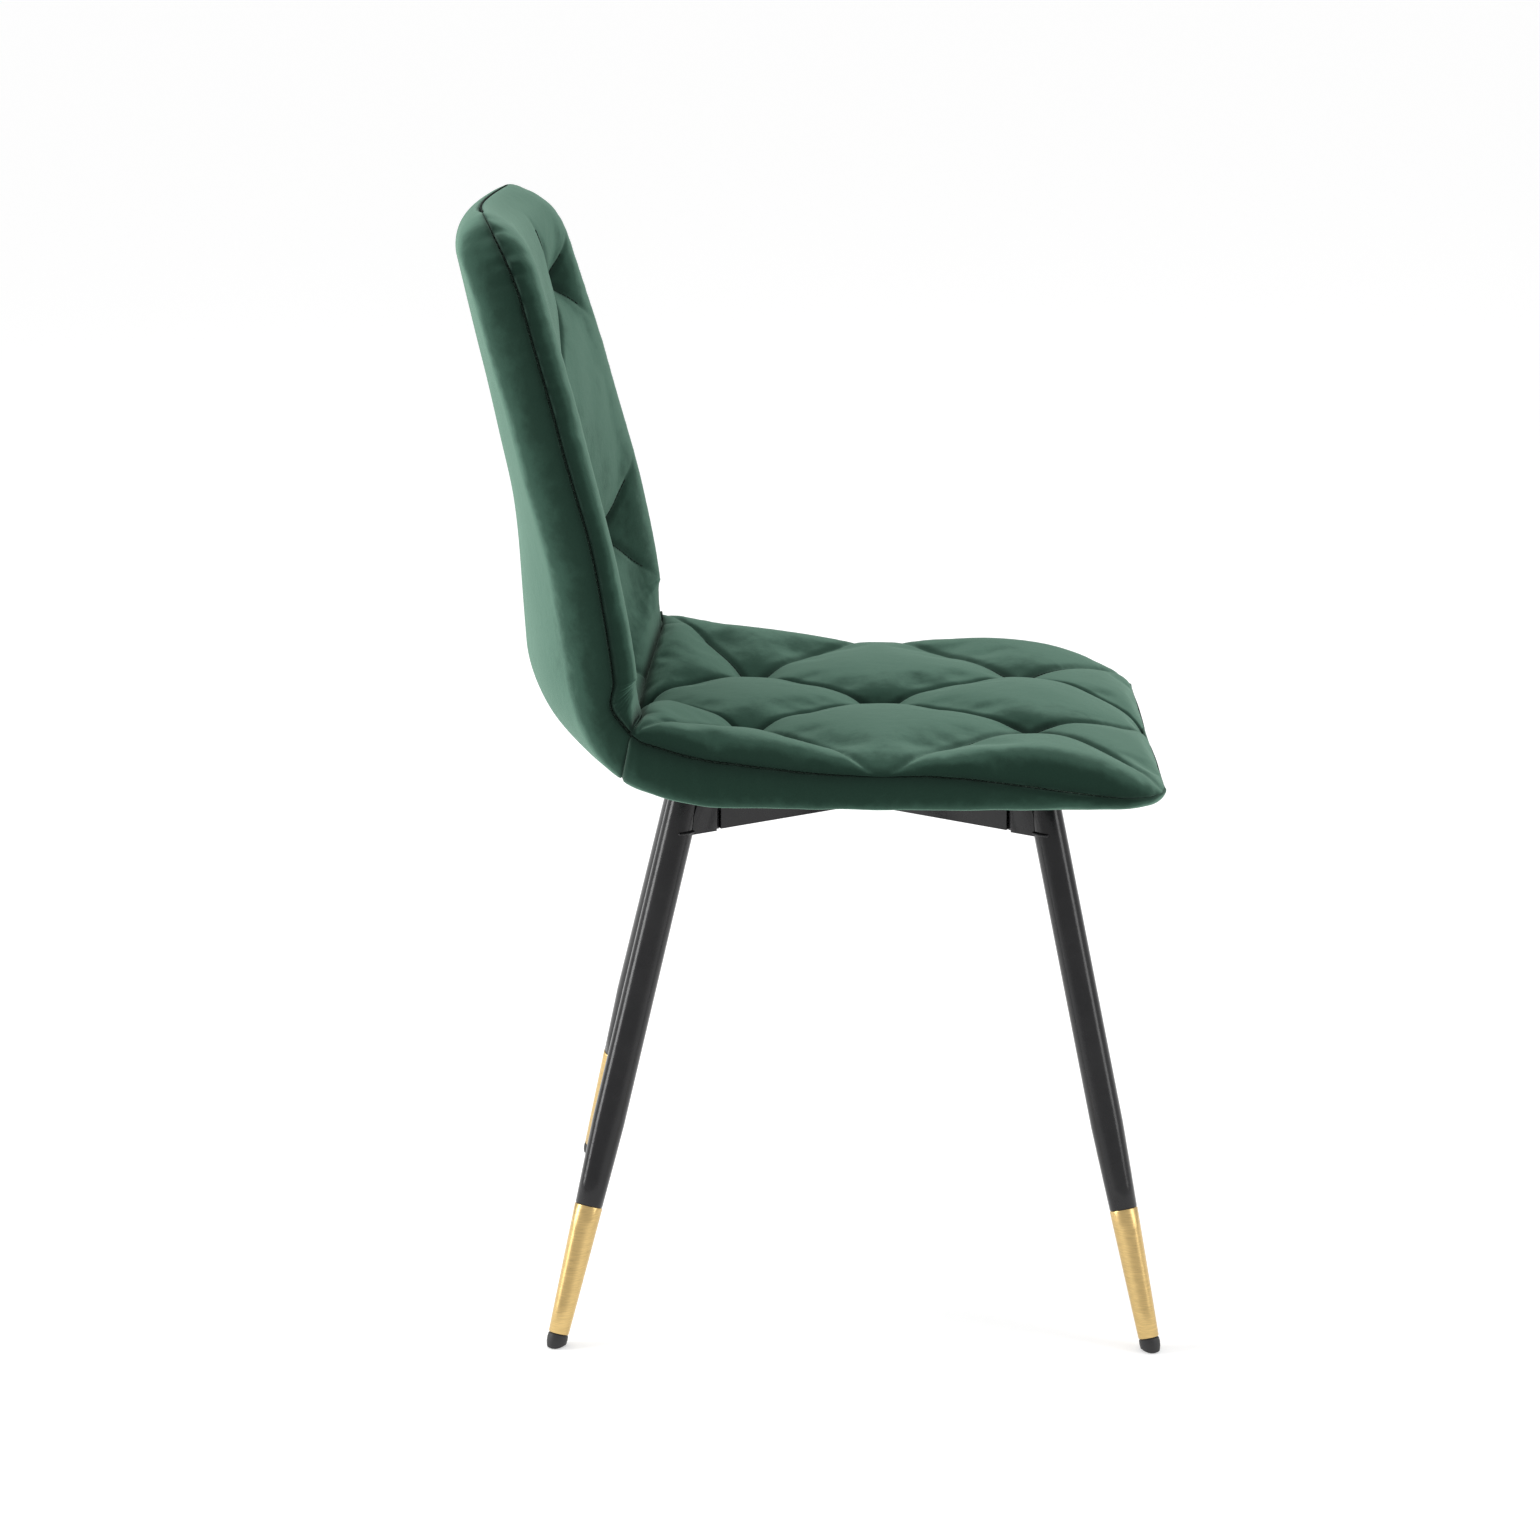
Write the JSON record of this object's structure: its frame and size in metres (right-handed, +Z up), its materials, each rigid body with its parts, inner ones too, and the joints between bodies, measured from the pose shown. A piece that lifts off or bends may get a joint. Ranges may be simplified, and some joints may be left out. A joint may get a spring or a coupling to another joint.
{
  "type": "dining chair",
  "caption": "Armless dining chair with a quilted velvet shell seat and back on splayed black metal legs with gold-coloured feet.",
  "frame": {"origin": "on the floor, below the middle of the chair's bounding box", "axes": "+Z up, +X the way the sitter faces, +Y to the sitter's left"},
  "size_m": [0.5444, 0.4378, 0.8562],
  "materials": {
    "velvet": "dark green short-pile velvet",
    "foam": "plain open foam",
    "plywood": "raw bent plywood",
    "lining": "black non-woven cloth",
    "black_steel": "satin black powder coat",
    "zinc_steel": "zinc plated",
    "brass": "satin gold",
    "glide_plastic": "matt black"
  },
  "bodies": {
    "root": {"seat_cover": "velvet", "inner_back_cover": "velvet", "outer_back_cover": "velvet", "seat_border": "velvet", "seat_foam": "foam", "back_foam": "foam", "outer_back_foam": "foam", "plywood_shell": "plywood", "dust_cloth": "lining", "cross_bar": "black_steel", "rear_half_bar": "black_steel", "front_half_bar": "black_steel", "mounting_plate_rear_right": "black_steel", "leg_rear_right": "black_steel", "leg_saddle_rear_right": "black_steel", "sleeve_rear_right": "brass", "glide_rear_right": "glide_plastic", "bolt_rear_right_outer": "zinc_steel", "tee_nut_rear_right_outer": "zinc_steel", "bolt_rear_right_inner": "zinc_steel", "tee_nut_rear_right_inner": "zinc_steel", "mounting_plate_rear_left": "black_steel", "leg_rear_left": "black_steel", "leg_saddle_rear_left": "black_steel", "sleeve_rear_left": "brass", "glide_rear_left": "glide_plastic", "bolt_rear_left_outer": "zinc_steel", "tee_nut_rear_left_outer": "zinc_steel", "bolt_rear_left_inner": "zinc_steel", "tee_nut_rear_left_inner": "zinc_steel", "mounting_plate_front_right": "black_steel", "leg_front_right": "black_steel", "leg_saddle_front_right": "black_steel", "sleeve_front_right": "brass", "glide_front_right": "glide_plastic", "bolt_front_right_outer": "zinc_steel", "tee_nut_front_right_outer": "zinc_steel", "bolt_front_right_inner": "zinc_steel", "tee_nut_front_right_inner": "zinc_steel", "mounting_plate_front_left": "black_steel", "leg_front_left": "black_steel", "leg_saddle_front_left": "black_steel", "sleeve_front_left": "brass", "glide_front_left": "glide_plastic", "bolt_front_left_outer": "zinc_steel", "tee_nut_front_left_outer": "zinc_steel", "bolt_front_left_inner": "zinc_steel", "tee_nut_front_left_inner": "zinc_steel"}
  },
  "joints": []
}
